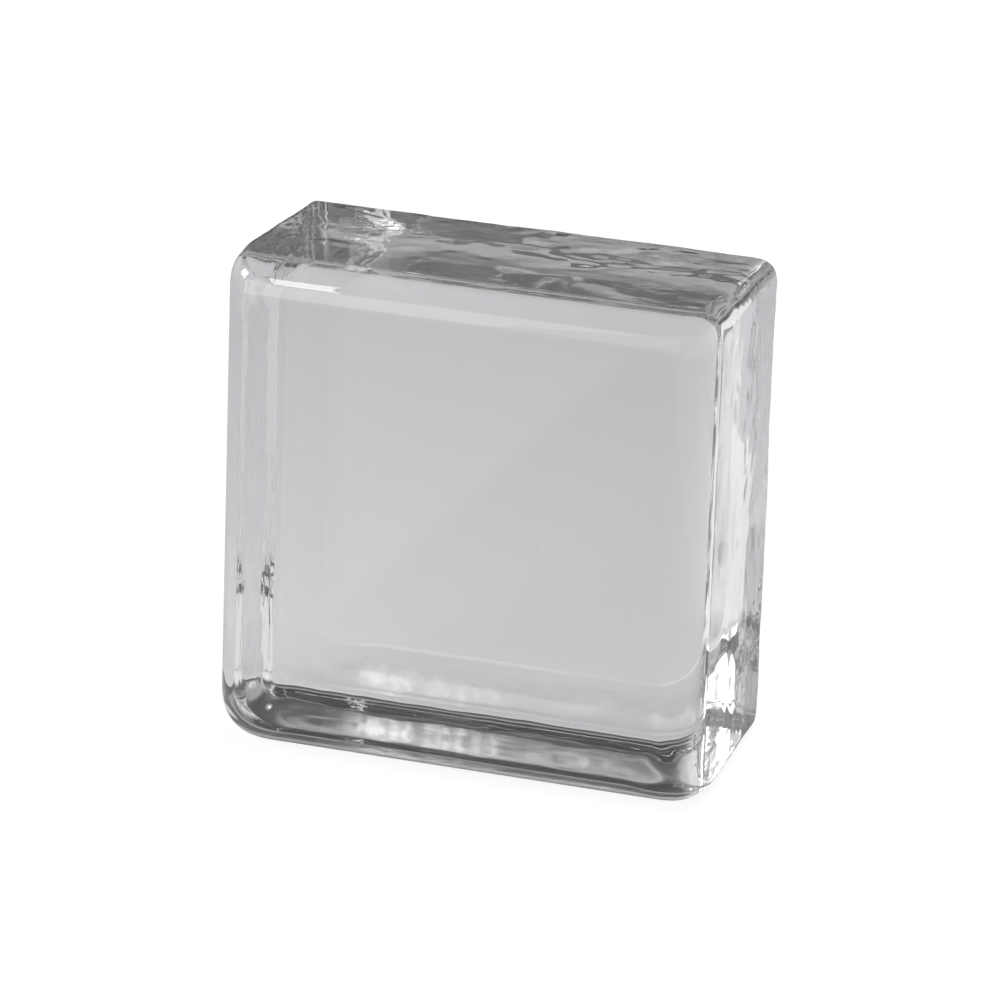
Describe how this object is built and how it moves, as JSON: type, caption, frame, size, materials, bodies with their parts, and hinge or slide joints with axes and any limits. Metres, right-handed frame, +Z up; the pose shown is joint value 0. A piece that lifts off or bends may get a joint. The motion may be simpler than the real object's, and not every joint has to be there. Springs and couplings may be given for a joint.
{
  "type": "solid glass block",
  "caption": "Square block of solid clear cast glass with a round fire-polished front rim and drafted sides, laid in walls and partitions to let light through.",
  "frame": {"origin": "on the floor under the middle of the block's box", "axes": "+Z up, the block standing on its bottom bed side; -Y towards the front, which is the fire-polished face with the round rim; +X to the right as seen from the front"},
  "size_m": [0.1, 0.0522, 0.1],
  "materials": {
    "clear_glass": "clear cast glass, fire-polished front and smooth back, faint chill waves on the mould sides"
  },
  "bodies": {
    "root": {"glass_block": "clear_glass"}
  },
  "joints": []
}
